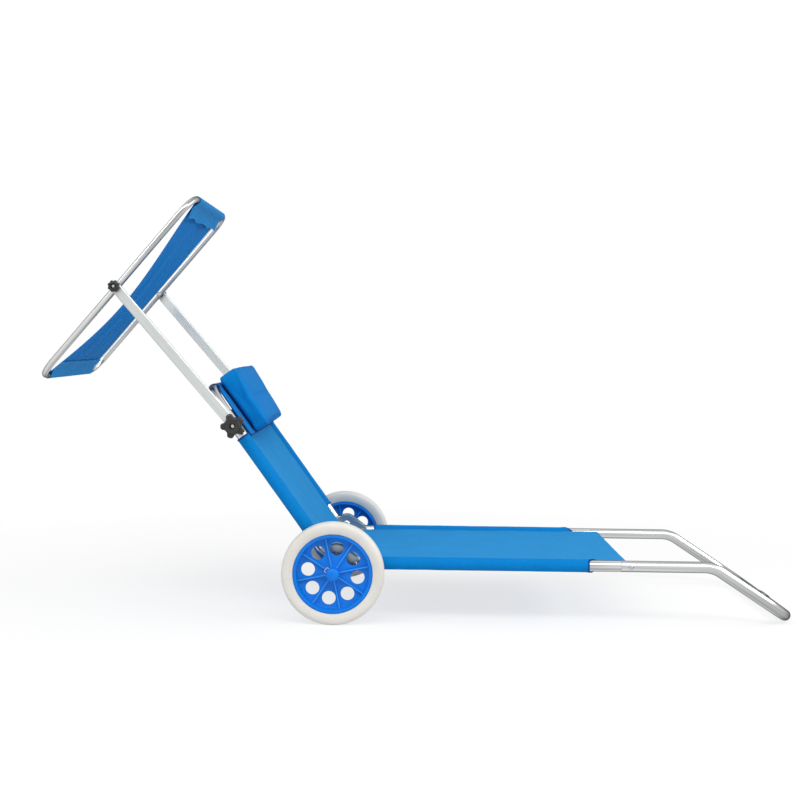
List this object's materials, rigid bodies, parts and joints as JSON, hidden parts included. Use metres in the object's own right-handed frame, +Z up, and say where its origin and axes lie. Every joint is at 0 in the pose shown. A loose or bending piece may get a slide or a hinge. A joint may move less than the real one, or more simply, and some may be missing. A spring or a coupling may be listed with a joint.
{
  "type": "folding beach cart lounger",
  "caption": "Low folding beach lounger on a wheeled hinge axle with a bent foot bar handle, reclining back, head pillow and adjustable sun canopy.",
  "frame": {"origin": "on the ground, under the middle of the open cart's whole length and width", "axes": "+X towards the foot bar, +Y to the sitter's left, +Z up"},
  "size_m": [1.4632, 0.5448, 0.8111],
  "materials": {
    "bright_tube": "bright polished tube",
    "satin_arm": "satin flat bar",
    "zinc_plate": "zinc plated",
    "steel_fastener": "plain",
    "rim_plastic": "moulded, semi-gloss",
    "tyre_foam": "matte",
    "sling_cloth": "woven polyester",
    "pillow_cloth": "woven polyester, stuffed",
    "canopy_cloth": "woven polyester",
    "knob_plastic": "moulded, matte"
  },
  "bodies": {
    "seat_frame": {"seat_rail_right": "bright_tube", "seat_rail_left": "bright_tube", "foot_bar_right": "bright_tube", "foot_bar_left": "bright_tube", "rail_spigot_right": "bright_tube", "rail_spigot_left": "bright_tube", "rail_screw_right": "steel_fastener", "rail_screw_left": "steel_fastener", "seat_sling": "sling_cloth", "hinge_plate_outer_right": "zinc_plate", "hinge_plate_outer_left": "zinc_plate", "hinge_plate_inner_right": "zinc_plate", "hinge_plate_inner_left": "zinc_plate", "hinge_pivot_right": "steel_fastener", "hinge_pivot_left": "steel_fastener", "rail_rivet_right": "steel_fastener", "rail_rivet_left": "steel_fastener", "axle": "steel_fastener", "wheel_washer_right": "zinc_plate", "wheel_washer_left": "zinc_plate", "wheel_clip_right": "steel_fastener", "wheel_clip_left": "steel_fastener", "hub_cap_right": "rim_plastic", "hub_cap_left": "rim_plastic"},
    "wheel_right": {"tyre_right": "tyre_foam", "rim_right": "rim_plastic"},
    "wheel_left": {"tyre_left": "tyre_foam", "rim_left": "rim_plastic"},
    "backrest": {"back_frame": "bright_tube", "back_sling": "sling_cloth", "pillow": "pillow_cloth", "pillow_strap": "sling_cloth", "back_lug_right": "zinc_plate", "back_lug_left": "zinc_plate", "back_rivet_right": "steel_fastener", "back_rivet_left": "steel_fastener", "arm_bolt_right": "steel_fastener", "arm_bolt_left": "steel_fastener", "arm_spacer_right": "knob_plastic", "arm_spacer_left": "knob_plastic"},
    "canopy_arms": {"canopy_arm_right": "satin_arm", "canopy_arm_left": "satin_arm"},
    "star_knob_right": {"star_knob_right": "knob_plastic"},
    "star_knob_left": {"star_knob_left": "knob_plastic"},
    "canopy": {"canopy_frame": "bright_tube", "canopy_spigot": "steel_fastener", "canopy_cloth": "canopy_cloth", "canopy_bolt_right": "steel_fastener", "canopy_bolt_left": "steel_fastener", "canopy_spacer_right": "knob_plastic", "canopy_spacer_left": "knob_plastic"},
    "canopy_knob_right": {"canopy_knob_right": "knob_plastic"},
    "canopy_knob_left": {"canopy_knob_left": "knob_plastic"}
  },
  "joints": [
    {"name": "wheel_spin_right", "type": "hinge", "parent": "seat_frame", "child": "wheel_right", "pos_m": [-0.16171, -0.245, 0.09689], "axis": [0, 1, 0], "continuous": true},
    {"name": "wheel_spin_left", "type": "hinge", "parent": "seat_frame", "child": "wheel_left", "pos_m": [-0.16171, 0.245, 0.09689], "axis": [0, 1, 0], "continuous": true},
    {"name": "back_fold", "type": "hinge", "parent": "seat_frame", "child": "backrest", "pos_m": [-0.15671, 0, 0.12659], "axis": [0, 1, 0], "range_deg": [-54, 75]},
    {"name": "arm_swing", "type": "hinge", "parent": "backrest", "child": "canopy_arms", "pos_m": [-0.354, 0, 0.37261], "axis": [0, 1, 0], "range_deg": [-77, 47]},
    {"name": "canopy_turn", "type": "hinge", "parent": "canopy_arms", "child": "canopy", "pos_m": [-0.58034, 0, 0.63299], "axis": [0, 1, 0], "continuous": true},
    {"name": "star_knob_turn_right", "type": "hinge", "parent": "backrest", "child": "star_knob_right", "pos_m": [-0.354, -0.238, 0.37261], "axis": [0, 1, 0], "continuous": true},
    {"name": "canopy_knob_turn_right", "type": "hinge", "parent": "canopy", "child": "canopy_knob_right", "pos_m": [-0.58034, -0.237, 0.63299], "axis": [0, 1, 0], "continuous": true},
    {"name": "star_knob_turn_left", "type": "hinge", "parent": "backrest", "child": "star_knob_left", "pos_m": [-0.354, 0.238, 0.37261], "axis": [0, 1, 0], "continuous": true},
    {"name": "canopy_knob_turn_left", "type": "hinge", "parent": "canopy", "child": "canopy_knob_left", "pos_m": [-0.58034, 0.237, 0.63299], "axis": [0, 1, 0], "continuous": true}
  ]
}
